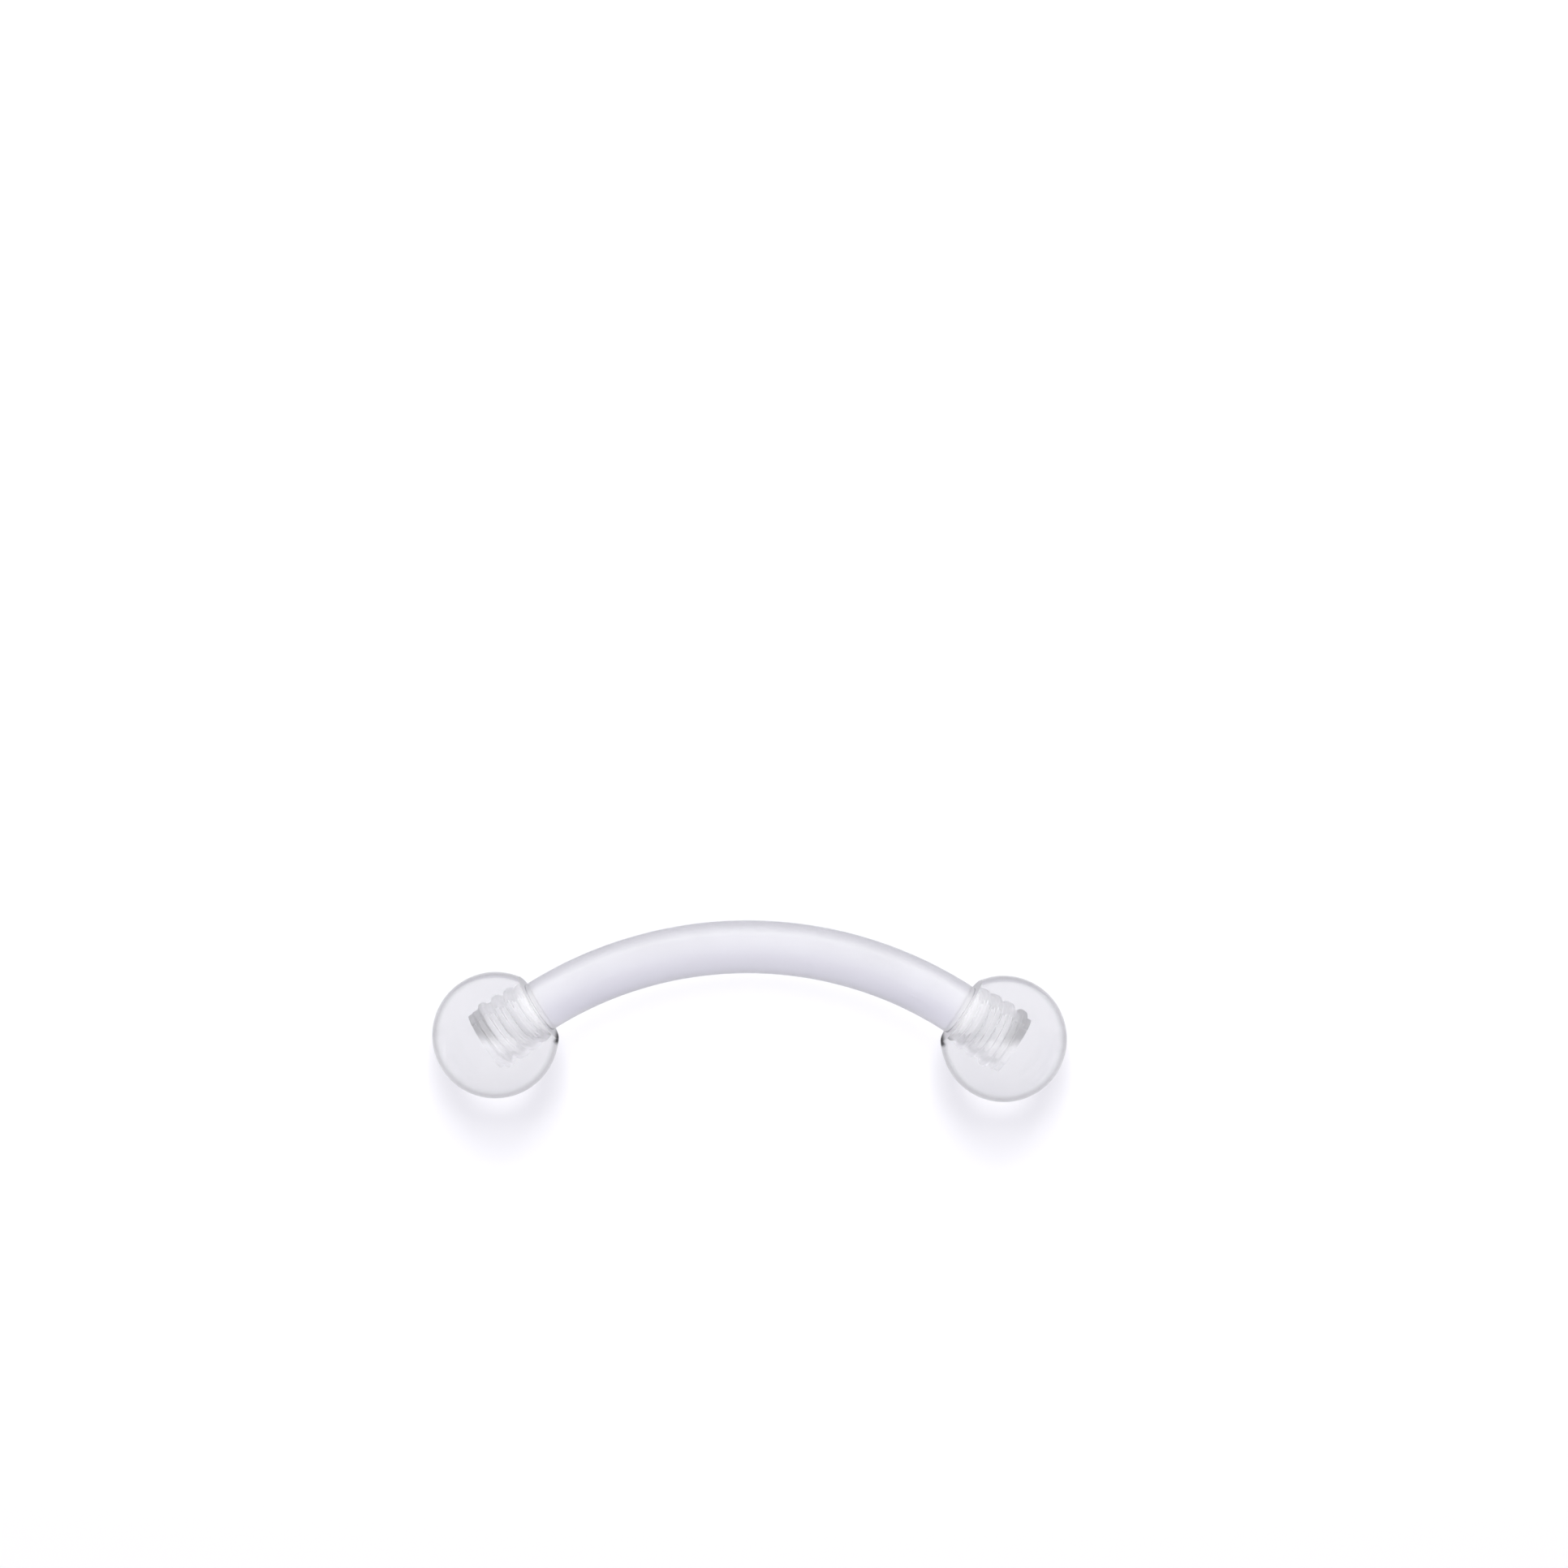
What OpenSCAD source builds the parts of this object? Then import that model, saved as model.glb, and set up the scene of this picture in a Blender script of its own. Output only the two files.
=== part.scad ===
// Curved eyebrow barbell with two screw-on balls, lying as it comes to rest by itself:
// on both balls and on the crown of its bar. The bar arches toward +Y and dips to the floor.
// The origin is the middle of the bounding box at floor level, and the lengths are millimetres.

/* [Bar] */
// Diameter of the bar (16 gauge)
bar_d = 1.25; // [1:0.05:1.6]
// Straight distance from one shoulder of the bar to the other
bar_length = 10; // [8:0.5:13]
// Radius of the bend, measured to the middle of the bar
bend_r = 9.1; // [8:0.1:13]

/* [Balls] */
// Diameter of each ball
ball_d = 3; // [2.5:0.1:4]
// Diameter of the flat face ground round the mouth of each ball
mouth_d = 1.75; // [1.6:0.05:2]
// Gap between the shoulder of the bar and the flat face of the ball
seat_gap = 0.02; // [0.01:0.01:0.05]

/* [Thread] */
// Step from the surface of the bar down to the crests of its thread
shoulder_step = 0.145; // [0.1:0.005:0.2]
// Height of a thread ridge, on the bar and in the ball
thread_depth = 0.06; // [0.04:0.01:0.08]
// Distance from one turn of the thread to the next
thread_pitch = 0.25; // [0.2:0.01:0.35]
// Length of the bar's thread, from its shoulder to its tip
thread_length = 1.35; // [1:0.05:1.6]
// Length of the taper at the tip of the bar's thread
tip_taper = 0.08; // [0.04:0.01:0.12]
// Radial gap between the crests of the bar's thread and those in the ball
thread_gap = 0.015; // [0.01:0.005:0.03]
// Depth of the plain recess at the mouth of each hole
recess_depth = 0.1; // [0.05:0.01:0.2]
// Depth that each hole runs on past the tip of the thread
hole_spare = 0.1; // [0.05:0.05:0.3]

/* [Hidden] */
$fn = 64;

// Facets round one turn of a thread, and the angle of its flanks to a plane across the axis
thread_sides = 20;
flank_angle = 30;
// Short length by which joined solids run into each other
bite = 0.05;

bar_r = bar_d / 2;
ball_r = ball_d / 2;
mouth_r = mouth_d / 2;

// Angle by which each end of the bar slopes down, with the arch standing upright
end_angle = asin(bar_length / 2 / bend_r);
// Height of the crown over the shoulders, along the middle of the bar
rise = bend_r * (1 - cos(end_angle));
// Distance from a shoulder to the centre of its ball
ball_reach = seat_gap + sqrt(pow(ball_r, 2) - pow(mouth_r, 2));
// Height of the crown over the centres of the balls
crown_height = rise + ball_reach * sin(end_angle);
// Angle by which the lying arch dips toward its crown, so that crown and balls share the floor
dip = asin(min(1, (ball_r - bar_r) / crown_height));
// Distance of the line through the ball centres in front of the middle of the bounding box
balls_y = (crown_height * cos(dip) + bar_r - ball_r) / 2;

// Radii of the thread: the bar's crests and roots, the crests in the ball, and the recess
crest_r = bar_r - shoulder_step;
root_r = crest_r - thread_depth;
hole_r = crest_r + thread_gap;
recess_r = hole_r + thread_depth + thread_gap;

// Lays the upright arch down: its crown swings toward +Y and on to the floor
module lying() {
    translate([0, -balls_y, ball_r])
        rotate([-90 - dip, 0, 0])
            children();
}

// Places its children on a shoulder of the bar, with +Z out along the thread.
// side is 1 at the right end and -1 at the left.
module at_end(side) {
    translate([side * bar_length / 2, 0, crown_height - rise])
        rotate([0, side * (90 + end_angle), 0])
            children();
}

// Rows of points that a thread has per turn: where each starts, as a share of the pitch, and
// whether it lies on the crest (1) or at the root (0)
flank = thread_depth * tan(flank_angle) / thread_pitch;
level = (1 - 2 * flank) / 2;
thread_rows = [
    [0, 0],
    [level, 0],
    [level + flank, 1],
    [2 * level + flank, 1],
];
turn_rows = len(thread_rows);

// Point j of row i of a thread that starts at height low. Each row climbs one pitch in a turn,
// and past taper_z the radius shrinks by as much as the height grows.
function thread_point(i, j, low, inner_r, ridge, taper_z) =
    let (
        row = thread_rows[i % turn_rows],
        z = low + thread_pitch * (floor(i / turn_rows) + row[0] + j / thread_sides),
        taper_r = inner_r + ridge - max(0, z - taper_z),
        r = max(inner_r / 2, min(inner_r + ridge * row[1], taper_r)),
        a = 360 * j / thread_sides
    )
    [r * cos(a), r * sin(a), z];

// Number of point j of row i. The point after the last one is the first one, one turn higher,
// and the turn past the last row has only its first points.
function spot(i, j, rows) =
    j < thread_sides ? i * thread_sides + j
    : i + turn_rows < rows ? (i + turn_rows) * thread_sides
    : rows * thread_sides + i + turn_rows - rows;

// Rim of a thread's end at row i: once round the row, then back down one turn
function rim(i, rows) = concat(
    [for (j = [0 : thread_sides - 1]) spot(i, j, rows)],
    [for (k = [0 : turn_rows - 1]) spot(i - k, thread_sides, rows)]
);

// Triangles from a tip to each edge of a rim
function fan(tip, edge) = [for (k = [0 : len(edge) - 1]) [tip, edge[k], edge[(k + 1) % len(edge)]]];

function reversed(list) = [for (k = [len(list) - 1 : -1 : 0]) list[k]];

// Right-hand threaded rod from z0 to z1. It is made longer than that, then cut flat. Its turns
// count from the shoulder, so that the ridges of the bar face the grooves of the ball.
module threaded_rod(inner_r, ridge, z0, z1, taper_z) {
    low = thread_pitch * (floor(z0 / thread_pitch) - 2);
    rows = turn_rows * (ceil((z1 - low) / thread_pitch) + 1);
    bottom = rows * thread_sides + turn_rows;
    top = bottom + 1;
    points = [
        for (i = [0 : rows - 1], j = [0 : thread_sides - 1])
            thread_point(i, j, low, inner_r, ridge, taper_z),
        for (i = [rows : rows + turn_rows - 1])
            thread_point(i, 0, low, inner_r, ridge, taper_z),
        [0, 0, low - thread_pitch],
        [0, 0, low + thread_pitch * (rows / turn_rows + 2)],
    ];
    faces = [
        for (i = [0 : rows - 2], j = [0 : thread_sides - 1])
            each [
                [spot(i, j, rows), spot(i + 1, j, rows), spot(i + 1, j + 1, rows)],
                [spot(i, j, rows), spot(i + 1, j + 1, rows), spot(i, j + 1, rows)],
            ],
        each fan(bottom, rim(0, rows)),
        each fan(top, reversed(rim(rows - 1, rows))),
    ];
    intersection() {
        polyhedron(points, faces);
        translate([0, 0, z0])
            cylinder(h = z1 - z0, r = inner_r + ridge + bite);
    }
}

module bar() {
    color("ghostwhite")
        lying() {
            bend();
            for (side = [-1, 1])
                at_end(side)
                    threaded_rod(root_r, thread_depth, -bite, thread_length, thread_length - tip_taper);
        }
}

// Bent length of the bar, from shoulder to shoulder
module bend() {
    translate([0, 0, crown_height - bend_r])
        rotate([90, 0, 0])
            rotate_extrude(start = 90 - end_angle, angle = 2 * end_angle)
                translate([bend_r, 0])
                    circle(r = bar_r);
}

module ball_left() {
    color("lavender", 0.7)
        lying()
            at_end(-1)
                ball();
}

module ball_right() {
    color("lavender", 0.7)
        lying()
            at_end(1)
                ball();
}

// Ball with its flat face at seat_gap over the shoulder and its blind threaded hole
module ball() {
    difference() {
        translate([0, 0, ball_reach])
            sphere(r = ball_r);
        translate([0, 0, seat_gap - ball_d])
            cylinder(h = ball_d, r = ball_r);
        hole();
    }
}

// Space of the threaded hole: recess at the mouth, thread, and plain drilled end
module hole() {
    recess_end = seat_gap + recess_depth;
    tap_r = hole_r / cos(180 / thread_sides);
    translate([0, 0, -bite])
        cylinder(h = recess_end + bite, r = recess_r);
    threaded_rod(tap_r, thread_depth, recess_end - bite, thread_length, thread_length + bite);
    cylinder(h = thread_length + hole_spare, r = crest_r);
}

bar();
ball_left();
ball_right();
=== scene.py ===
"""Looks of a curved eyebrow barbell: a milky plastic bar with two clear screw-on balls.

The barbell lies on a pale floor, on both balls and on the crown of its bar. The camera looks
at the arch from above its crown, turned so that the crown is at the top of the picture.
All lengths are in metres and all angles in radians, unless a name says otherwise.
"""

import logging
import math
from collections.abc import Callable
from dataclasses import dataclass
from enum import Enum

import bpy
from mathutils import Euler, Matrix, Vector


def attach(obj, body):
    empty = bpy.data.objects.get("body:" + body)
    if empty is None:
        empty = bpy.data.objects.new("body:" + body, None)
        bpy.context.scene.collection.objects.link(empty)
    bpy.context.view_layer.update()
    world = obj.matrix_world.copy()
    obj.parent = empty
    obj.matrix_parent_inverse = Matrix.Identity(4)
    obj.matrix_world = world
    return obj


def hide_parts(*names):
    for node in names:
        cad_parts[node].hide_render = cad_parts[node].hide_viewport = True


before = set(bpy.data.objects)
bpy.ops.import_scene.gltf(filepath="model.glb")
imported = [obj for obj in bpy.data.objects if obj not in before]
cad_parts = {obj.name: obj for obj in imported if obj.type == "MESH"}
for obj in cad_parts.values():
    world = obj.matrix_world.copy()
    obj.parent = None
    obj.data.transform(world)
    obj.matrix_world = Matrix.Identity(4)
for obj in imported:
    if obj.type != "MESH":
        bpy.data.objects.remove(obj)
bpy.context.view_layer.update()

log = logging.getLogger("barbell")

MM = 0.001
WHITE = (1.0, 1.0, 1.0, 1.0)

# Numbers from 0 to 1 that are stored on the surfaces for their finish and their painted light:
# whether a tap or a die cut them, how dark a narrow gap makes them as painted shade, how near
# they lie to the inner side of the bend, where the bar is painted darker, and how closely the
# threads of bar and ball touch there, where they clear and take a painted white glow
TOOL_MARKS = "tool_marks"
GAP_SHADE = "gap_shade"
INNER_BEND = "inner_bend"
THREADS_TOUCH_AND_GLOW = "threads_touch_and_glow"

Socket = bpy.types.NodeSocket
# Red, green, blue and 1
Colour = tuple[float, float, float, float]
# Where a change starts and where it ends
Span = tuple[float, float]


class Side(Enum):
    """An end of the bar, with its direction along X."""

    LEFT = -1
    RIGHT = 1


class Domain(Enum):
    """What of a mesh a number is stored on, or its shading is set for."""

    FACES = "FACE"
    POINTS = "POINT"
    EDGES = "EDGE"


class Number:
    """A number in a node tree. Python's operators on it add Math nodes."""

    def __init__(self, tree: "Tree", socket: Socket) -> None:
        """Wrap an output socket of a tree.

        Args:
            tree: The tree that the socket is in.
            socket: The output socket to wrap.
        """
        self.tree = tree
        self.socket = socket

    def math(self, operation: str, *others: "Number | float") -> "Number":
        """Add a Math node with this number as its first operand.

        Args:
            operation: The Math node's operation.
            others: The operands that follow this one.

        Returns:
            The node's result.
        """
        return self.tree.math(operation, self, *others)

    def __add__(self, other: "Number | float") -> "Number":
        """Return self + other."""
        return self.math("ADD", other)

    __radd__ = __add__

    def __sub__(self, other: "Number | float") -> "Number":
        """Return self - other."""
        return self.math("SUBTRACT", other)

    def __rsub__(self, other: float) -> "Number":
        """Return other - self."""
        return self.tree.math("SUBTRACT", other, self)

    def __mul__(self, other: "Number | float") -> "Number":
        """Return self * other."""
        return self.math("MULTIPLY", other)

    __rmul__ = __mul__

    def __truediv__(self, other: "Number | float") -> "Number":
        """Return self / other."""
        return self.math("DIVIDE", other)

    def __rtruediv__(self, other: float) -> "Number":
        """Return other / self."""
        return self.tree.math("DIVIDE", other, self)

    def sin(self) -> "Number":
        """Return the sine of this angle."""
        return self.math("SINE")

    def cos(self) -> "Number":
        """Return the cosine of this angle."""
        return self.math("COSINE")

    def sqrt(self) -> "Number":
        """Return the square root."""
        return self.math("SQRT")

    def arcsin(self) -> "Number":
        """Return the angle with this sine."""
        return self.math("ARCSINE")

    def fraction(self) -> "Number":
        """Return the part after the decimal point."""
        return self.math("FRACT")

    def size(self) -> "Number":
        """Return the number without its sign."""
        return self.math("ABSOLUTE")

    def at_most(self, other: "Number | float") -> "Number":
        """Return the smaller of this number and another."""
        return self.math("MINIMUM", other)

    def at_least(self, other: "Number | float") -> "Number":
        """Return the larger of this number and another."""
        return self.math("MAXIMUM", other)

    def over(self, other: "Number | float") -> "Number":
        """Return 1 where this number is greater than another, else 0."""
        return self.math("GREATER_THAN", other)

    def eased(self) -> "Number":
        """Return a smooth step from 0 to 1 as this number goes from 0 to 1."""
        t = self.at_least(0.0).at_most(1.0)
        return t * t * (3.0 - 2.0 * t)


# A number of a node tree or one of Python's
Value = Number | float


class Tree:
    """A node tree for shaders or geometry, built by expressions."""

    # An even mix of two, and the plain measure of how far a surface turns away
    EVEN = 0.5
    # How far a surface turns away from a lamp where the light let through starts to fade, and
    # where it fades no more
    GRAZED = (0.03, 0.6)
    BUMP_HEIGHT = 0.02 * MM

    def __init__(self, nodes: bpy.types.NodeTree) -> None:
        """Wrap a Blender node tree."""
        self.nodes = nodes

    @classmethod
    def cleared(cls, owner: "bpy.types.Material | bpy.types.World") -> "Tree":
        """Clear the tree of a material or a world.

        Args:
            owner: The material or world.

        Returns:
            Its empty tree.
        """
        owner.use_nodes = True
        owner.node_tree.nodes.clear()
        return cls(owner.node_tree)

    def node(
        self, kind: str, settings: dict | None = None, inputs: dict | None = None
    ) -> bpy.types.Node:
        """Add any node.

        Args:
            kind: The node's type.
            settings: Its properties by name, such as an operation, which are set first.
            inputs: Values or links by the input's name or number.

        Returns:
            The new node.
        """
        made = self.nodes.nodes.new(kind)
        for name, value in (settings or {}).items():
            setattr(made, name, value)
        for key, value in (inputs or {}).items():
            self._feed(made.inputs[key], value)
        return made

    def math(self, operation: str, *operands: Value) -> Number:
        """Add a Math node.

        Args:
            operation: The node's operation.
            operands: Its numbers, in order.

        Returns:
            The node's result.
        """
        made = self.node("ShaderNodeMath", {"operation": operation}, dict(enumerate(operands)))
        return Number(self, made.outputs[0])

    def stored(self, name: str) -> Number:
        """Read a number that was stored on the surface when it was built."""
        kept = self.node("ShaderNodeAttribute", {"attribute_name": name})
        return Number(self, kept.outputs["Fac"])

    def turned_away(self) -> Number:
        """Give how far the surface turns away from whoever looks at it, from 0 to 1."""
        weight = self.node("ShaderNodeLayerWeight", inputs={"Blend": self.EVEN})
        return Number(self, weight.outputs["Facing"])

    def frosted(self, shader: Socket, share: Number, grey: float) -> Socket:
        """Dull a surface with a haze that scatters light to both of its sides.

        Args:
            shader: The surface's own shader.
            share: How much of the surface the haze covers.
            grey: How light the haze is, from 0 to 1.

        Returns:
            The mixed shader.
        """
        inputs = {"Color": (grey, grey, grey, 1.0)}
        back = self.node("ShaderNodeBsdfDiffuse", inputs=inputs)
        through = self.node("ShaderNodeBsdfTranslucent", inputs=inputs)
        haze = self.mixed(back.outputs[0], through.outputs[0], self.EVEN)
        return self.mixed(shader, haze, share)

    def faded(self, shader: Socket, clear: Number, haze: Number, grey: float) -> Socket:
        """Fade a surface out where it touches another, so that light goes on through both.

        Args:
            shader: The surface's own shader.
            clear: How much of the surface lets light straight on.
            haze: How much of the surface a scattering haze then covers, as a painted glow.
            grey: How light the haze is, from 0 to 1.

        Returns:
            The mixed shader.
        """
        straight = self.node("ShaderNodeBsdfTransparent", inputs={"Color": WHITE})
        return self.frosted(self.mixed(shader, straight.outputs[0], clear), haze, grey)

    def mixed(self, first: Socket, second: Socket, share: Value) -> Socket:
        """Mix two shaders, with the share of the second."""
        mix = self.node("ShaderNodeMixShader", inputs={0: share, 1: first, 2: second})
        return mix.outputs[0]

    def ramp(self, position: Number, start: float, end: float) -> Number:
        """Return a smooth step from 0 at one value to 1 at another."""
        return ((position - start) / (end - start)).eased()

    def blend(self, first: object, second: object, share: Value) -> Socket:
        """Mix two colours, with the share of the second."""
        mix = self.node("ShaderNodeMix", {"data_type": "RGBA"}, {0: share, 6: first, 7: second})
        return mix.outputs[2]

    def edged(self, colour: object, edge: Colour, turn: Span, nearer: Value = 0.0) -> Socket:
        """Darken clear plastic towards its outline, where light goes the longest way through it.

        The darker outline is partly painted shade.

        Args:
            colour: The plastic's own colour.
            edge: Its colour at the outline.
            turn: How far the surface turns away, from 0 to 1, where the change starts and ends.
            nearer: How much sooner the change comes.

        Returns:
            The colour socket.
        """
        polished = 1.0 - self.stored(TOOL_MARKS)
        share = self.ramp(self.turned_away() + nearer, *turn) * polished
        return self.blend(colour, edge, share)

    def bumped(self, height: Number, strength: float) -> Socket:
        """Give a surface a very shallow unevenness.

        Args:
            height: The unevenness, from 0 to 1.
            strength: How much of it shows.

        Returns:
            The link for the input Normal.
        """
        inputs = {"Strength": strength, "Distance": self.BUMP_HEIGHT, "Height": height}
        return self.node("ShaderNodeBump", inputs=inputs).outputs["Normal"]

    def lit_through(self, shader: Socket, tint: Colour) -> Socket:
        """Let the lamps shine straight through a clear surface, less so where they graze it.

        Args:
            shader: The surface's own shader.
            tint: Share of the light that is left where it grazes a polished surface.

        Returns:
            The mixed shader.
        """
        shadow = Number(self, self.node("ShaderNodeLightPath").outputs["Is Shadow Ray"])
        grazed = self.ramp(self.turned_away(), *self.GRAZED) * (1.0 - self.stored(TOOL_MARKS))
        clear = self.node("ShaderNodeBsdfTransparent", inputs={"Color": WHITE})
        dim = self.node("ShaderNodeBsdfTransparent", inputs={"Color": tint})
        return self.mixed(shader, self.mixed(clear.outputs[0], dim.outputs[0], grazed), shadow)

    def _feed(self, socket: Socket, value: object) -> None:
        """Link or set one input socket.

        Args:
            socket: The input socket.
            value: A number of the tree, another socket or a plain value.
        """
        if isinstance(value, Number):
            self.nodes.links.new(value.socket, socket)
        elif isinstance(value, Socket):
            self.nodes.links.new(value, socket)
        else:
            socket.default_value = value


class FormTree(Tree):
    """A Geometry Nodes tree for one closed piece, sewn together from bands of faces."""

    # A grid's points run from minus this to this
    HALF_GRID = 0.5
    # Points closer than this become one
    SEWING_GAP = 0.0001 * MM
    # An edge that bends more than this stays sharp
    CREASE = math.radians(35)

    def __init__(self, name: str, sides: int, sizes: dict[str, float]) -> None:
        """Start a tree with a named input for each size.

        Args:
            name: The tree's name.
            sides: Faces round each band.
            sizes: Each input's name and its value.
        """
        super().__init__(bpy.data.node_groups.new(name, "GeometryNodeTree"))
        self.sides = sides
        interface = self.nodes.interface
        interface.new_socket("Geometry", in_out="INPUT", socket_type="NodeSocketGeometry")
        interface.new_socket("Geometry", in_out="OUTPUT", socket_type="NodeSocketGeometry")
        self.values = sizes
        self.sockets = {
            size: interface.new_socket(size, in_out="INPUT", socket_type="NodeSocketFloat")
            for size in sizes
        }
        source = self.node("NodeGroupInput")
        self.size = {size: Number(self, source.outputs[size]) for size in sizes}

    def step(
        self, kind: str, geometry: Socket, settings: dict | None = None, inputs: dict | None = None
    ) -> Socket:
        """Put geometry through one more node.

        Args:
            kind: The node's type.
            geometry: What the node changes.
            settings: Its properties by name.
            inputs: Its other values or links.

        Returns:
            The changed geometry.
        """
        made = self.node(kind, settings, {"Geometry": geometry, **(inputs or {})})
        return made.outputs["Geometry"]

    def band(self, rows: int, place: Callable[[Number, Number], tuple]) -> Socket:
        """Make one band of faces, closed round an axis.

        Args:
            rows: Faces along the band.
            place: Gives (x, y, z) from the share along the band and the angle round it.

        Returns:
            The band's geometry.
        """
        points = {"Vertices X": rows + 1, "Vertices Y": self.sides + 1}
        grid = self.node("GeometryNodeMeshGrid", inputs={"Size X": 1.0, "Size Y": 1.0, **points})
        across, round_about, _ = self.spot()
        x, y, z = place(across + self.HALF_GRID, (round_about + self.HALF_GRID) * math.tau)
        position = {"Position": self.vector(x, y, z)}
        return self.step("GeometryNodeSetPosition", grid.outputs["Mesh"], inputs=position)

    def wound(
        self,
        rows: int,
        radius: Callable[[Number, Number], Value],
        height: Callable[[Number], Value],
    ) -> Socket:
        """Make a band round the Z axis.

        Args:
            rows: Faces along the band.
            radius: Gives the radius from the share along the band and the angle.
            height: Gives the height from the share along the band.

        Returns:
            The band's geometry.
        """

        def place(along: Number, angle: Number) -> tuple:
            """Turn radius, angle and height into a point."""
            r = radius(along, angle)
            return angle.cos() * r, angle.sin() * r, height(along)

        return self.band(rows, place)

    def vector(self, x: Value, y: Value, z: Value) -> Socket:
        """Combine three numbers into a vector socket."""
        return self.node("ShaderNodeCombineXYZ", inputs={0: x, 1: y, 2: z}).outputs[0]

    def spot(self) -> tuple[Number, Number, Number]:
        """Read where a point of the geometry lies.

        Returns:
            Its X, Y and Z.
        """
        place = self.node("GeometryNodeInputPosition").outputs[0]
        parts = self.node("ShaderNodeSeparateXYZ", inputs={0: place}).outputs
        return Number(self, parts["X"]), Number(self, parts["Y"]), Number(self, parts["Z"])

    def store(
        self, geometry: Socket, name: str, value: Value, place: Domain = Domain.FACES
    ) -> Socket:
        """Store a number on some geometry.

        Args:
            geometry: What to store it on.
            name: The attribute's name.
            value: The number.
            place: Whether it is stored on faces or points.

        Returns:
            The geometry with the attribute.
        """
        return self.step(
            "GeometryNodeStoreNamedAttribute",
            geometry,
            {"data_type": "FLOAT", "domain": place.value},
            {"Name": name, "Value": value},
        )

    def cut(self, geometry: Socket) -> Socket:
        """Mark geometry as cut by a tap or a die, so that its finish is duller."""
        return self.store(geometry, TOOL_MARKS, 1.0)

    def moved(self, geometry: Socket, shift: "Socket | tuple", turn: "Socket | tuple") -> Socket:
        """Turn geometry about the origin, then shift it.

        Args:
            geometry: What to move.
            shift: Vector to add, as a link or as three numbers.
            turn: Angles about X, Y and Z, as a link or as three numbers.

        Returns:
            The moved geometry.
        """
        inputs = {"Translation": shift, "Rotation": turn}
        return self.step("GeometryNodeTransform", geometry, inputs=inputs)

    def joined(self, parts: list[Socket]) -> Socket:
        """Join several geometries, still unsewn.

        Args:
            parts: The geometries.

        Returns:
            All of them in one.
        """
        join = self.node("GeometryNodeJoinGeometry")
        for part in parts:
            self.nodes.links.new(part, join.inputs[0])
        return join.outputs[0]

    def finish(self, geometry: Socket, finish: bpy.types.Material) -> None:
        """Sew the bands, shade them smooth but for their creases, and end the tree.

        Args:
            geometry: All the bands of the piece, in place.
            finish: The piece's material.
        """
        gap = {"Distance": self.SEWING_GAP}
        sewn = self.step("GeometryNodeMergeByDistance", geometry, inputs=gap)
        smooth = self.step("GeometryNodeSetShadeSmooth", sewn)
        bend = Number(self, self.node("GeometryNodeInputMeshEdgeAngle").outputs["Unsigned Angle"])
        creased = self.step(
            "GeometryNodeSetShadeSmooth",
            smooth,
            {"domain": Domain.EDGES.value},
            {"Selection": bend.over(self.CREASE), "Shade Smooth": False},
        )
        real = self.step("GeometryNodeRealizeInstances", creased)
        dressed = self.step("GeometryNodeSetMaterial", real, inputs={"Material": finish})
        self.node("NodeGroupOutput", inputs={0: dressed})

    def bake(self, name: str) -> bpy.types.Object:
        """Run the tree and keep its result as a plain mesh.

        Args:
            name: The new piece's name.

        Returns:
            The piece, at the origin, with no modifier.
        """
        piece = bpy.data.objects.new(name, bpy.data.meshes.new(name))
        bpy.context.scene.collection.objects.link(piece)
        modifier = piece.modifiers.new("form", "NODES")
        modifier.node_group = self.nodes
        for size, socket in self.sockets.items():
            modifier[socket.identifier] = self.values[size]
        graph = bpy.context.evaluated_depsgraph_get()
        mesh = bpy.data.meshes.new_from_object(piece.evaluated_get(graph), depsgraph=graph)
        piece.modifiers.clear()
        piece.data = mesh
        mesh.name = name
        return piece


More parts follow.
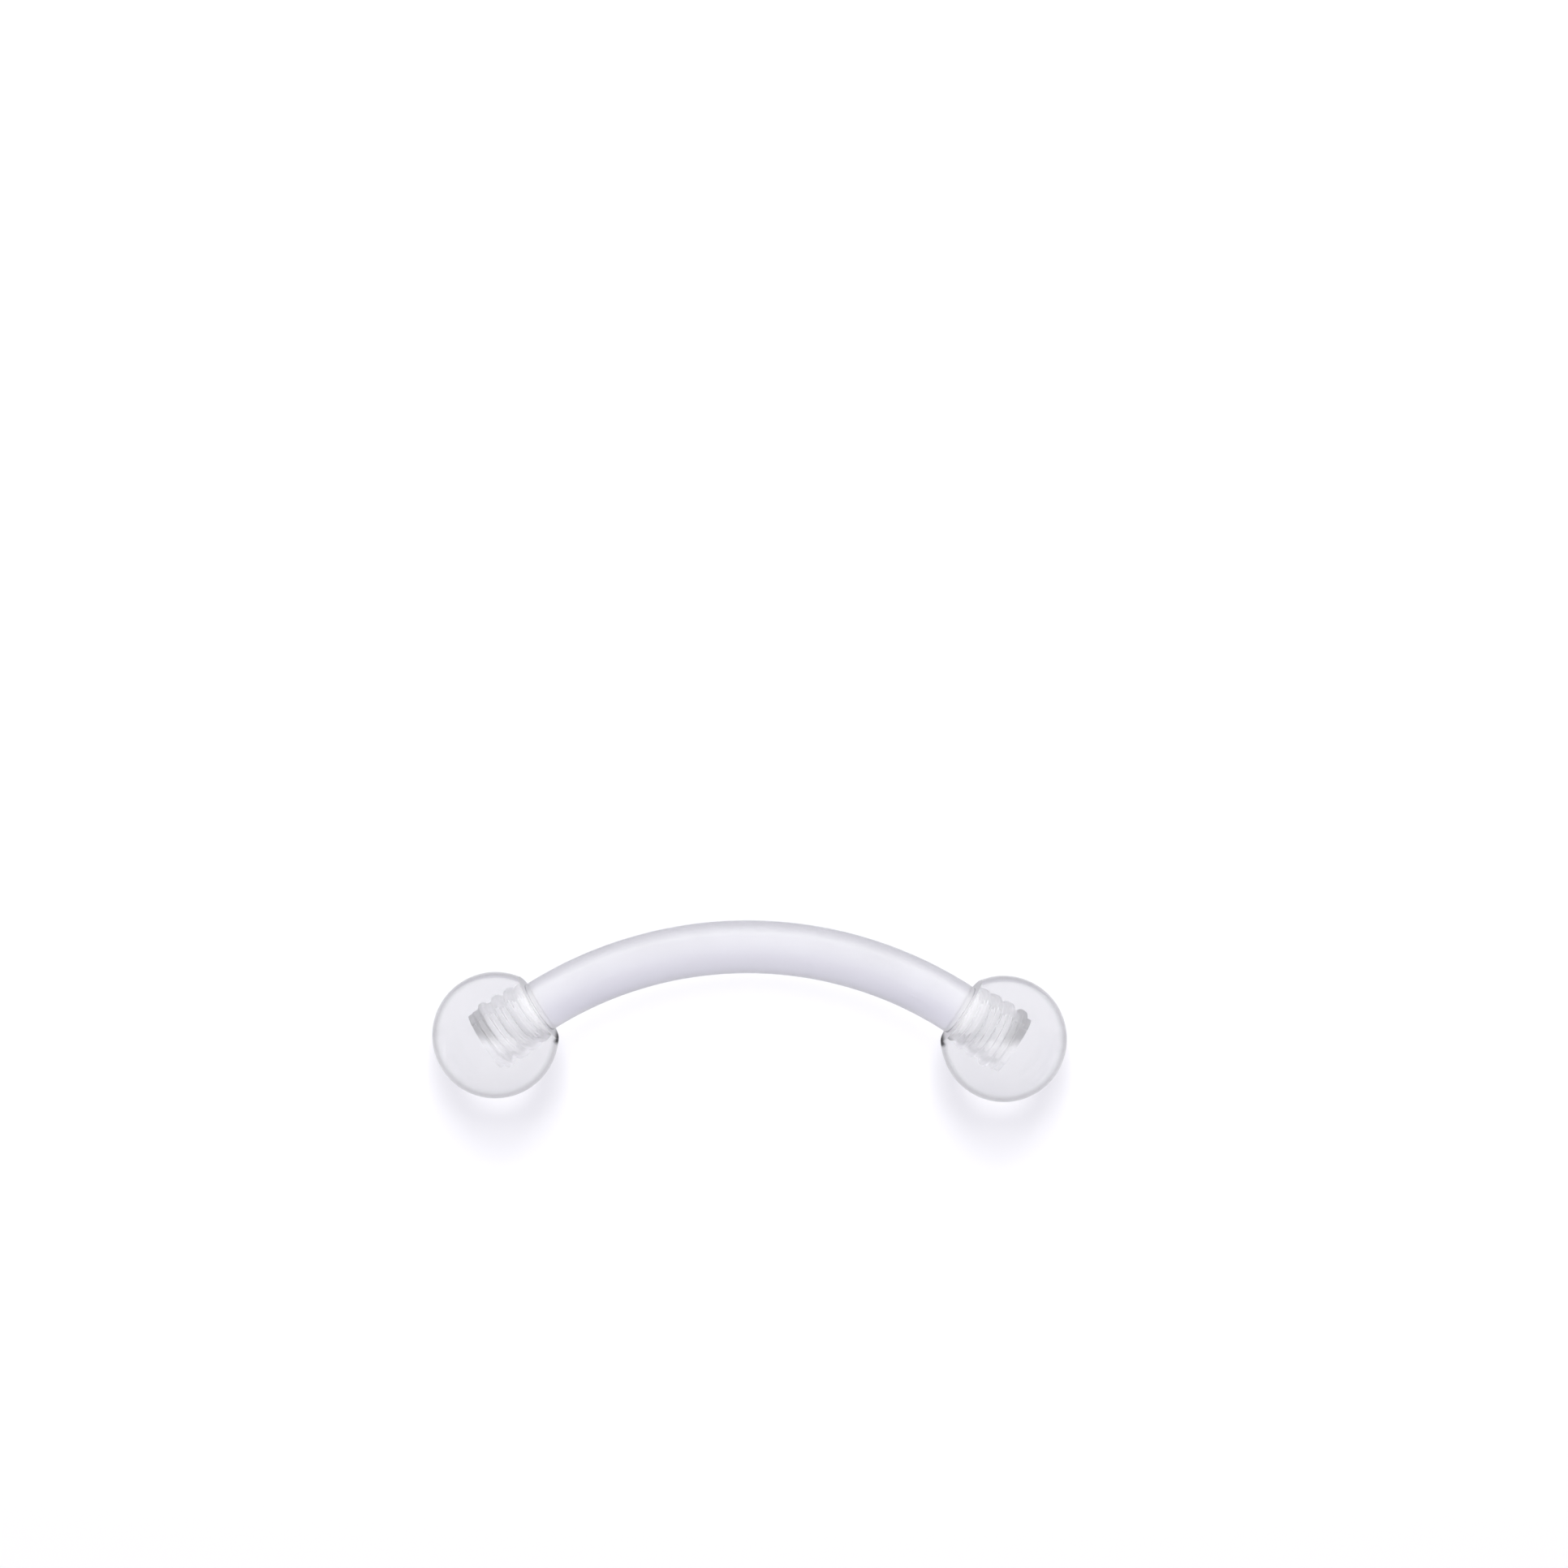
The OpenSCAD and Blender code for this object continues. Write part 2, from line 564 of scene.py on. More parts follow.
@dataclass(frozen=True)
class Thread:
    """The right-hand thread that bar and balls share, and the hole that it runs in.

    flank_share and crest_place are shares of one turn. Where the two threads touch, both are
    hard to see, and a painted glow, a white haze, stands for a bright band of light on them. They
    touch near the mouth, down to the depths in shallow, and inward of a slanting edge: at the
    shoulder it lies touch_at_shoulder crest radii to the inner side of the bend, and at the tip
    touch_fall less. From the depths in tip on, the hole is shaded.
    """

    pitch: float = 0.25 * MM
    depth: float = 0.06 * MM
    length: float = 1.35 * MM
    crest_radius: float = 0.48 * MM
    gap: float = 0.015 * MM
    taper: float = 0.08 * MM
    recess_depth: float = 0.1 * MM
    hole_spare: float = 0.1 * MM
    flank_share: float = 0.24
    crest_place: float = 0.68
    rows_a_turn: int = 24
    shallow: Span = (0.25 * MM, 0.65 * MM)
    touch_at_shoulder: float = 1.55
    touch_fall: float = 1.85
    touch_edge: Span = (-0.25, 0.45)
    tip: Span = (1.12 * MM, 1.24 * MM)

    @property
    def hole_radius(self) -> float:
        """Radius over the crests in the ball."""
        return self.crest_radius + self.gap

    @property
    def recess_radius(self) -> float:
        """Radius of the plain recess at the mouth of the hole."""
        return self.hole_radius + self.depth + self.gap

    def rows(self, length: float) -> int:
        """Rows of faces along a stretch of thread."""
        return round(length / self.pitch * self.rows_a_turn)

    def deep(self, tree: FormTree) -> Number:
        """Give how deep in the hole a point is, from 0 at the mouth to 1."""
        return tree.ramp(tree.spot()[2], *self.shallow)

    def touch(self, tree: FormTree, inward: Number) -> Number:
        """Give how closely the threads of bar and ball touch, which is also where the painted glow
        goes.

        Args:
            tree: The tree, where an end is still made along +Z.
            inward: How far a point lies to the side that the bar bends to, in crest radii.

        Returns:
            The touch, from 0 to 1.
        """
        edge = self.touch_at_shoulder - tree.spot()[2] * (self.touch_fall / self.length)
        return tree.ramp(inward - edge, *self.touch_edge).at_least(1.0 - self.deep(tree))

    def ridge(self, tree: FormTree, height: Value, angle: Number) -> Number:
        """Give how far a point of the thread is from root (0) to crest (1).

        Args:
            tree: The tree with the input Pitch.
            height: Distance from the shoulder.
            angle: Angle round the thread's axis.

        Returns:
            The share of the thread's depth.
        """
        turn = height / tree.size["Pitch"] - angle / math.tau
        off_crest = ((turn - self.crest_place + 0.5).fraction() - 0.5).size()
        level = (1.0 - 2.0 * self.flank_share) / 2.0
        return ((level / 2.0 + self.flank_share - off_crest) / self.flank_share).eased()


@dataclass(frozen=True)
class Arch:
    """The shape of the bent bar and how the barbell lies."""

    bar_radius: float = 0.625 * MM
    bar_length: float = 10.0 * MM
    bend_radius: float = 9.1 * MM
    ball_radius: float = 1.5 * MM
    mouth_radius: float = 0.875 * MM
    seat_gap: float = 0.02 * MM

    @property
    def end_angle(self) -> float:
        """Slope of each end, with the arch upright."""
        return math.asin(self.bar_length / 2 / self.bend_radius)

    @property
    def rise(self) -> float:
        """Height of the crown over the shoulders."""
        return self.bend_radius * (1 - math.cos(self.end_angle))

    @property
    def ball_reach(self) -> float:
        """Distance from a shoulder to its ball's centre."""
        return self.seat_gap + math.sqrt(self.ball_radius**2 - self.mouth_radius**2)

    @property
    def crown_height(self) -> float:
        """Height of the crown over the ball centres."""
        return self.rise + self.ball_reach * math.sin(self.end_angle)

    @property
    def dip(self) -> float:
        """Slope of the lying arch down to its crown."""
        return math.asin(min(1.0, (self.ball_radius - self.bar_radius) / self.crown_height))

    @property
    def balls_back(self) -> float:
        """Distance of the ball centres behind the middle of the box, along -Y."""
        return (self.crown_height * math.cos(self.dip) + self.bar_radius - self.ball_radius) / 2

    @property
    def lying_turn(self) -> tuple[float, float, float]:
        """Angles that lay the upright arch down."""
        return (-math.pi / 2 - self.dip, 0.0, 0.0)

    @property
    def lying_shift(self) -> tuple[float, float, float]:
        """Place of the middle between the balls once the arch lies."""
        return (0.0, -self.balls_back, self.ball_radius)

    def lay(self, tree: FormTree, geometry: Socket) -> Socket:
        """Lay upright geometry down on the floor."""
        return tree.moved(geometry, self.lying_shift, self.lying_turn)

    def at_end(self, tree: FormTree, geometry: Socket, side: Side) -> Socket:
        """Put geometry made along +Z on a shoulder of the upright bar.

        Args:
            tree: The tree with the inputs End Angle, Half Length and Shoulder Height.
            geometry: What to place.
            side: The end of the bar.

        Returns:
            The placed geometry.
        """
        size = tree.size
        turn = tree.vector(0.0, (size["End Angle"] + math.pi / 2) * side.value, 0.0)
        shift = tree.vector(size["Half Length"] * side.value, 0.0, size["Shoulder Height"])
        return tree.moved(geometry, shift, turn)

    def inward(self, tree: FormTree, side: Side, radius: float) -> Number:
        """Give how far a point lies to the side that the bar bends to.

        Args:
            tree: The tree, where an end is still made along +Z.
            side: The end of the bar.
            radius: The distance from the axis that counts as 1.

        Returns:
            The distance, from -1 to 1.
        """
        return tree.spot()[0] * (side.value / radius)

    def sizes(self) -> dict[str, float]:
        """Give the inputs that place a piece on the bar's ends."""
        return {
            "End Angle": self.end_angle,
            "Half Length": self.bar_length / 2,
            "Shoulder Height": self.crown_height - self.rise,
        }


@dataclass(frozen=True)
class Mottle:
    """A soft random pattern that runs through a piece."""

    scale: float
    detail: float
    roughness: float

    def on(self, tree: Tree) -> Number:
        """Add the pattern to a material.

        Args:
            tree: The material's tree.

        Returns:
            The pattern at each point of the piece, from 0 to 1.
        """
        where = tree.node("ShaderNodeTexCoord").outputs["Object"]
        values = {"Scale": self.scale, "Detail": self.detail, "Roughness": self.roughness}
        noise = tree.node("ShaderNodeTexNoise", inputs={"Vector": where, **values})
        return Number(tree, noise.outputs["Fac"])


@dataclass(frozen=True)
class MilkyPlastic:
    """Soft clear plastic of the bar, faintly milky with a lavender cast.

    Its colour goes over to thin_colour with the mottle, and to inner_shade_colour towards the
    inner side of the bend, which is painted shade: darker and more lavender on the side that is
    turned away from the lamps. It goes to white where the threads touch, a painted glow, and to
    edge_shade_colour as the surface turns away: a darker outline, partly for the longer way that
    light goes through the plastic and partly painted shade, sooner on the outer side of the bend
    and later on the inner one, by edge_slant about edge_middle. What a tool cut is rougher and
    has a haze, the frost. Where the threads touch, touch_clear of the surface lets light straight
    on, then touch_glow of it is a white haze, more of the painted glow. shade is the share of a
    lamp's light that is left where it grazes the piece.
    """

    colour: Colour = (0.73, 0.73, 0.735, 1.0)
    thin_colour: Colour = (0.79, 0.79, 0.8, 1.0)
    thin_share: Span = (0.3, 0.7)
    inner_shade_colour: Colour = (0.68, 0.675, 0.72, 1.0)
    inner_shade_share: Span = (0.15, 0.7)
    edge_shade_colour: Colour = (0.5, 0.5, 0.52, 1.0)
    edge_turn: Span = (0.2, 0.65)
    edge_middle: float = 0.45
    edge_slant: float = 0.34
    shade: Colour = (0.85, 0.85, 0.88, 1.0)
    clearness: float = 0.75
    refraction: float = 1.49
    mottle: Mottle = Mottle(450.0, 3.0, 0.55)
    grain: Mottle = Mottle(2600.0, 4.0, 0.6)
    bump_strength: float = 0.05
    roughness: float = 0.13
    roughness_spread: float = 0.14
    cut_roughness: float = 0.35
    frost: float = 0.35
    frost_grey: float = 0.75
    touch_clear: float = 0.3
    touch_glow: float = 0.6
    touch_glow_grey: float = 0.88

    def material(self) -> bpy.types.Material:
        """Make the material.

        Returns:
            The material, still without a piece.
        """
        made = bpy.data.materials.new("milky_plastic")
        tree = Tree.cleared(made)
        haze = self.mottle.on(tree)
        marks = tree.stored(TOOL_MARKS)
        inner = tree.stored(INNER_BEND)
        touch = tree.stored(THREADS_TOUCH_AND_GLOW)
        cloudy = tree.blend(self.colour, self.thin_colour, tree.ramp(haze, *self.thin_share))
        # Painted shade: darker and more lavender towards the inner side of the bend
        bent = tree.blend(cloudy, self.inner_shade_colour, tree.ramp(inner, *self.inner_shade_share))
        # Painted glow: the colour goes to white where the threads touch
        own = tree.blend(bent, WHITE, touch)
        # The painted dark outline comes sooner on the outer side of the bend than on the inner one
        sooner = (self.edge_middle - inner) * self.edge_slant
        dullness = haze * self.roughness_spread + self.roughness + marks * self.cut_roughness
        shader = tree.node(
            "ShaderNodeBsdfPrincipled",
            inputs={
                "Base Color": tree.edged(own, self.edge_shade_colour, self.edge_turn, sooner),
                "Roughness": dullness,
                "IOR": self.refraction,
                "Transmission Weight": self.clearness,
                "Normal": tree.bumped(self.grain.on(tree), self.bump_strength),
            },
        )
        dulled = tree.frosted(shader.outputs[0], marks * self.frost, self.frost_grey)
        # Where the threads touch, part of the surface lets light straight on and part is a white
        # haze, a painted glow
        clear, white = touch * self.touch_clear, touch * self.touch_glow
        surface = tree.lit_through(tree.faded(dulled, clear, white, self.touch_glow_grey), self.shade)
        tree.node("ShaderNodeOutputMaterial", inputs={"Surface": surface})
        return made


@dataclass(frozen=True)
class ClearPlastic:
    """Hard clear plastic of the balls, polished, with a trace of lavender.

    Its values are named as in MilkyPlastic. All of it has a faint haze, haze_share, and light
    takes on body_colour inside it. It goes to edge_shade_colour at its outline, partly painted
    shade, and to white where the threads touch, a painted glow. Where a gap shades it, gap_share
    of the surface is painted dark, times wall_shade on the walls near the mouth and end_shade
    round the tip of the bar.
    """

    colour: Colour = (0.765, 0.765, 0.785, 1.0)
    thin_colour: Colour = (0.8, 0.8, 0.81, 1.0)
    thin_share: Span = (0.35, 0.7)
    edge_shade_colour: Colour = (0.25, 0.25, 0.26, 1.0)
    edge_turn: Span = (0.48, 0.76)
    shade: Colour = (0.55, 0.55, 0.57, 1.0)
    refraction: float = 1.49
    body_colour: Colour = (0.4, 0.4, 0.45, 1.0)
    body_density: float = 8.0
    mottle: Mottle = Mottle(700.0, 3.0, 0.5)
    bump_strength: float = 0.02
    roughness: float = 0.015
    roughness_spread: float = 0.03
    cut_roughness: float = 0.5
    haze_share: float = 0.12
    frost: float = 0.15
    frost_grey: float = 0.97
    touch_clear: float = 0.85
    touch_glow: float = 0.22
    touch_glow_grey: float = 1.0
    gap_share: float = 0.9
    gap_grey: float = 0.03
    wall_shade: float = 0.95
    end_shade: float = 0.35

    def material(self) -> bpy.types.Material:
        """Make the material.

        Returns:
            The material, still without a piece.
        """
        made = bpy.data.materials.new("clear_plastic")
        tree = Tree.cleared(made)
        haze = self.mottle.on(tree)
        marks = tree.stored(TOOL_MARKS)
        touch = tree.stored(THREADS_TOUCH_AND_GLOW)
        cloudy = tree.blend(self.colour, self.thin_colour, tree.ramp(haze, *self.thin_share))
        # Painted glow: the colour goes to white where the threads touch
        own = tree.blend(cloudy, WHITE, touch)
        dullness = haze * self.roughness_spread + self.roughness + marks * self.cut_roughness
        # Painted shade: the colour darkens towards the outline, partly for the longer way light
        # goes through
        shader = tree.node(
            "ShaderNodeBsdfPrincipled",
            inputs={
                "Base Color": tree.edged(own, self.edge_shade_colour, self.edge_turn),
                "Roughness": dullness,
                "IOR": self.refraction,
                "Transmission Weight": 1.0,
                "Normal": tree.bumped(haze, self.bump_strength),
            },
        )
        frost = marks * self.frost + self.haze_share
        dulled = tree.frosted(shader.outputs[0], frost, self.frost_grey)
        # Where the threads touch, part of the surface lets light straight on and part is a white
        # haze, a painted glow
        clear, white = touch * self.touch_clear, touch * self.touch_glow
        joined = tree.faded(dulled, clear, white, self.touch_glow_grey)
        seated = tree.frosted(joined, tree.stored(GAP_SHADE) * self.gap_share, self.gap_grey)
        surface = tree.lit_through(seated, self.shade)
        inside = {"Color": self.body_colour, "Density": self.body_density}
        body = tree.node("ShaderNodeVolumeAbsorption", inputs=inside)
        outputs = {"Surface": surface, "Volume": body.outputs[0]}
        tree.node("ShaderNodeOutputMaterial", inputs=outputs)
        return made


@dataclass
class Bar:
    """The bent bar with a shoulder and a thread at each end."""

    arch: Arch
    thread: Thread
    finish: MilkyPlastic
    sides: int = 96
    bend_rows: int = 120
    disc_rows: int = 8
    step_rows: int = 3

    def build(self) -> bpy.types.Object:
        """Make the bar, lying, as one closed mesh.

        Returns:
            The dressed piece.
        """
        tree = FormTree(
            "bar form",
            self.sides,
            {
                "Bar Radius": self.arch.bar_radius,
                "Bend Radius": self.arch.bend_radius,
                "Crown Height": self.arch.crown_height,
                "Pitch": self.thread.pitch,
                "Thread Length": self.thread.length,
                "Crest Radius": self.thread.crest_radius,
                "Thread Depth": self.thread.depth,
                "Taper": self.thread.taper,
                **self.arch.sizes(),
            },
        )
        ends = [self.arch.at_end(tree, self._end(tree, side), side) for side in Side]
        upright = tree.joined([self._bend(tree), *ends])
        tree.finish(self.arch.lay(tree, upright), self.finish.material())
        return tree.bake("bent_bar")

    def _bend(self, tree: FormTree) -> Socket:
        """Make the bent length from shoulder to shoulder.

        Args:
            tree: The bar's tree.

        Returns:
            The bent length, with how near its points lie to the inner side of the bend.
        """
        centre = tree.size["Crown Height"] - tree.size["Bend Radius"]
        bar = tree.size["Bar Radius"]

        def place(along: Number, angle: Number) -> tuple:
            """Follow the arc of the bend with a round section.

            Args:
                along: Share of the way from the left shoulder to the right one.
                angle: Angle round the section.

            Returns:
                The point's X, Y and Z.
            """
            slope = (along * 2.0 - 1.0) * tree.size["End Angle"]
            out = angle.cos() * bar + tree.size["Bend Radius"]
            return slope.sin() * out, angle.sin() * bar, slope.cos() * out + centre

        bend = tree.band(self.bend_rows, place)
        x, _, z = tree.spot()
        reach = (x * x + (z - centre) * (z - centre)).sqrt() - tree.size["Bend Radius"]
        return tree.store(bend, INNER_BEND, 0.5 - reach / (2.0 * bar), Domain.POINTS)

    def _end(self, tree: FormTree, side: Side) -> Socket:
        """Make one end along +Z, from the tip back to the shoulder.

        Args:
            tree: The bar's tree.
            side: The end of the bar.

        Returns:
            The tip, the thread and the shoulder.
        """
        length = tree.size["Thread Length"]
        crest = tree.size["Crest Radius"]
        depth = tree.size["Thread Depth"]
        taper_start = length - tree.size["Taper"]

        def radius(height: Value, angle: Number) -> Number:
            """Radius of the thread at a height, less along the taper."""
            thread = crest - depth + self.thread.ridge(tree, height, angle) * depth
            return thread.at_most(crest - (height - taper_start).at_least(0.0))

        def at(along: Number) -> Number:
            """Height along the thread, from the tip to the shoulder."""
            return length * (1.0 - along)

        tip = tree.wound(
            self.disc_rows,
            lambda along, angle: radius(length, angle) * along,
            lambda along: length,
        )
        rows = self.thread.rows(self.thread.length)
        turns = tree.wound(rows, lambda along, angle: radius(at(along), angle), at)
        bar = tree.size["Bar Radius"]
        shoulder = tree.wound(
            self.step_rows,
            lambda along, angle: radius(0.0, angle) * (1.0 - along) + bar * along,
            lambda along: 0.0,
        )
        touch = self.thread.touch(tree, self.arch.inward(tree, side, self.thread.crest_radius))
        # Where the threads touch, the finish clears and takes a painted white glow
        screw = tree.store(tree.joined([tip, turns]), THREADS_TOUCH_AND_GLOW, touch)
        return tree.cut(tree.joined([screw, shoulder]))


@dataclass
class ScrewBall:
    """A clear ball with a flat round its mouth and a threaded blind hole.

    The gap between bar and ball is in the shade on the inner side of the bend. lip_depth,
    lip_inward, flat_inward and wall_inward say where that starts and ends on the lip of the
    mouth, on its flat and on the wall of the hole.
    """

    side: Side
    arch: Arch
    thread: Thread
    finish: ClearPlastic
    material: bpy.types.Material
    sides: int = 128
    globe_rows: int = 96
    disc_rows: int = 8
    flat_rows: int = 6
    recess_rows: int = 4
    step_rows: int = 3
    lip_depth: Span = (0.05 * MM, 0.12 * MM)
    lip_inward: Span = (0.86, 0.96)
    flat_inward: Span = (0.8, 0.92)
    wall_inward: Span = (0.8, 1.0)

    def build(self) -> bpy.types.Object:
        """Make the ball on its end of the lying bar, as one closed mesh.

        Returns:
            The dressed piece.
        """
        name = f"{self.side.name.lower()}_ball"
        tree = FormTree(
            f"{name} form",
            self.sides,
            {
                "Ball Radius": self.arch.ball_radius,
                "Ball Reach": self.arch.ball_reach,
                "Mouth Radius": self.arch.mouth_radius,
                "Seat Gap": self.arch.seat_gap,
                "Pitch": self.thread.pitch,
                "Thread Length": self.thread.length,
                "Thread Depth": self.thread.depth,
                "Hole Radius": self.thread.hole_radius,
                "Recess Radius": self.thread.recess_radius,
                "Recess Depth": self.thread.recess_depth,
                "Drill Radius": self.thread.crest_radius,
                "Hole Spare": self.thread.hole_spare,
                **self.arch.sizes(),
            },
        )
        cut = tree.cut(tree.joined([*self._mouth(tree), self._hole(tree)]))
        placed = self.arch.at_end(tree, tree.joined([self._globe(tree), cut]), self.side)
        tree.finish(self.arch.lay(tree, placed), self.material)
        return tree.bake(name)

    def _globe(self, tree: FormTree) -> Socket:
        """Make the round outside, from the far pole to the lip of the mouth.

        Args:
            tree: The ball's tree.

        Returns:
            The outside, with the shade on its lip stored.
        """
        ball = tree.size["Ball Radius"]
        last = math.pi - (tree.size["Mouth Radius"] / ball).arcsin()
        globe = tree.wound(
            self.globe_rows,
            lambda along, angle: (along * last).sin() * ball,
            lambda along: (along * last).cos() * ball + tree.size["Ball Reach"],
        )
        lip = 1.0 - tree.ramp(tree.spot()[2], *self.lip_depth)
        inward = self.arch.inward(tree, self.side, self.arch.mouth_radius)
        shade = tree.ramp(inward, *self.lip_inward) * lip
        return tree.store(globe, GAP_SHADE, shade, Domain.POINTS)

    def _mouth(self, tree: FormTree) -> list[Socket]:
        """Make the flat round the mouth, and the wall and floor of its recess.

        Args:
            tree: The ball's tree.

        Returns:
            The flat and the recess.
        """
        mouth = tree.size["Mouth Radius"]
        recess = tree.size["Recess Radius"]
        seat = tree.size["Seat Gap"]
        depth = tree.size["Recess Depth"]
        flat = tree.wound(
            self.flat_rows,
            lambda along, angle: mouth + (recess - mouth) * along,
            lambda along: seat,
        )
        wall = tree.wound(
            self.recess_rows, lambda along, angle: recess, lambda along: seat + depth * along
        )

        def floor_radius(along: Number, angle: Number) -> Number:
            """Radius on the recess's floor, from its wall in to the thread."""
            return recess * (1.0 - along) + self._hole_radius(tree, seat + depth, angle) * along

        floor = tree.wound(self.step_rows, floor_radius, lambda along: seat + depth)
        inward = self.arch.inward(tree, self.side, self.arch.mouth_radius)
        recessed = tree.joined([self._shaded(tree, wall, 1.0), floor])
        # The recess counts as touched, so it clears and takes the painted white glow
        return [
            tree.store(flat, GAP_SHADE, tree.ramp(inward, *self.flat_inward)),
            tree.store(recessed, THREADS_TOUCH_AND_GLOW, 1.0),
        ]

    def _shaded(self, tree: FormTree, wall: Socket, touch: Value) -> Socket:
        """Shade a wall of the hole near the mouth, on its inner side, and round the bar's tip.

        Args:
            tree: The ball's tree.
            wall: The wall, along +Z from the mouth.
            touch: How closely the bar's thread touches it.

        Returns:
            The wall, with its shade stored.
        """
        inward = self.arch.inward(tree, self.side, self.thread.recess_radius)
        shallow = 1.0 - self.thread.deep(tree)
        shade = tree.ramp(inward, *self.wall_inward) * shallow * self.finish.wall_shade
        return tree.store(wall, GAP_SHADE, shade + self._end_shade(tree, touch))

    def _end_shade(self, tree: FormTree, touch: Value) -> Number:
        """Give the shade round the tip of the bar, where no thread touches another."""
        near_tip = tree.ramp(tree.spot()[2], *self.thread.tip)
        return near_tip * (1.0 - touch) * self.finish.end_shade

    def _hole(self, tree: FormTree) -> Socket:
        """Make the threaded wall of the hole and its plain drilled end.

        Args:
            tree: The ball's tree.

        Returns:
            The hole, with its shade and its touch stored.
        """
        start = tree.size["Seat Gap"] + tree.size["Recess Depth"]
        end = tree.size["Thread Length"]
        drill = tree.size["Drill Radius"]
        bottom = end + tree.size["Hole Spare"]

        def at(along: Number) -> Number:
            """Height along the threaded wall."""
            return start + (end - start) * along

        def ledge_radius(along: Number, angle: Number) -> Number:
            """Radius on the ledge, from the thread in to the drilled end."""
            return self._hole_radius(tree, end, angle) * (1.0 - along) + drill * along

        rows = self.thread.rows(self.thread.length - self.thread.recess_depth - self.arch.seat_gap)
        turns = tree.wound(rows, lambda along, angle: self._hole_radius(tree, at(along), angle), at)
        ledge = tree.wound(self.step_rows, ledge_radius, lambda along: end)
        wall = tree.wound(
            self.step_rows, lambda along, angle: drill, lambda along: end + (bottom - end) * along
        )
        floor = tree.wound(
            self.disc_rows, lambda along, angle: drill * (1.0 - along), lambda along: bottom
        )
        inward = self.arch.inward(tree, self.side, self.thread.crest_radius)
        touch = self.thread.touch(tree, inward)
        end_shade = self._end_shade(tree, touch)
        drilled = tree.store(tree.joined([ledge, wall, floor]), GAP_SHADE, end_shade)
        hole = tree.joined([self._shaded(tree, turns, touch), drilled])
        # Where the threads touch, the finish clears and takes a painted white glow
        return tree.store(hole, THREADS_TOUCH_AND_GLOW, touch)

    def _hole_radius(self, tree: FormTree, height: Number, angle: Number) -> Number:
        """Give the radius of the threaded hole at a height and angle."""
        ridge = self.thread.ridge(tree, height, angle)
        return tree.size["Hole Radius"] + ridge * tree.size["Thread Depth"]


@dataclass(frozen=True)
class Photo:
    """Where the barbell sits in the photograph: the middles of its balls, in pixels."""

    width: float = 1932.0
    pixels_per_mm: float = 51.8
    left_ball: tuple[float, float] = (611.2, 1275.4)
    right_ball: tuple[float, float] = (1236.5, 1280.0)


@dataclass(frozen=True)
class Lamp:
    """A square soft light in front of the crown, with its power in watts."""

    name: str
    elevation: float
    span: float
    power: float
    mirrored: bool


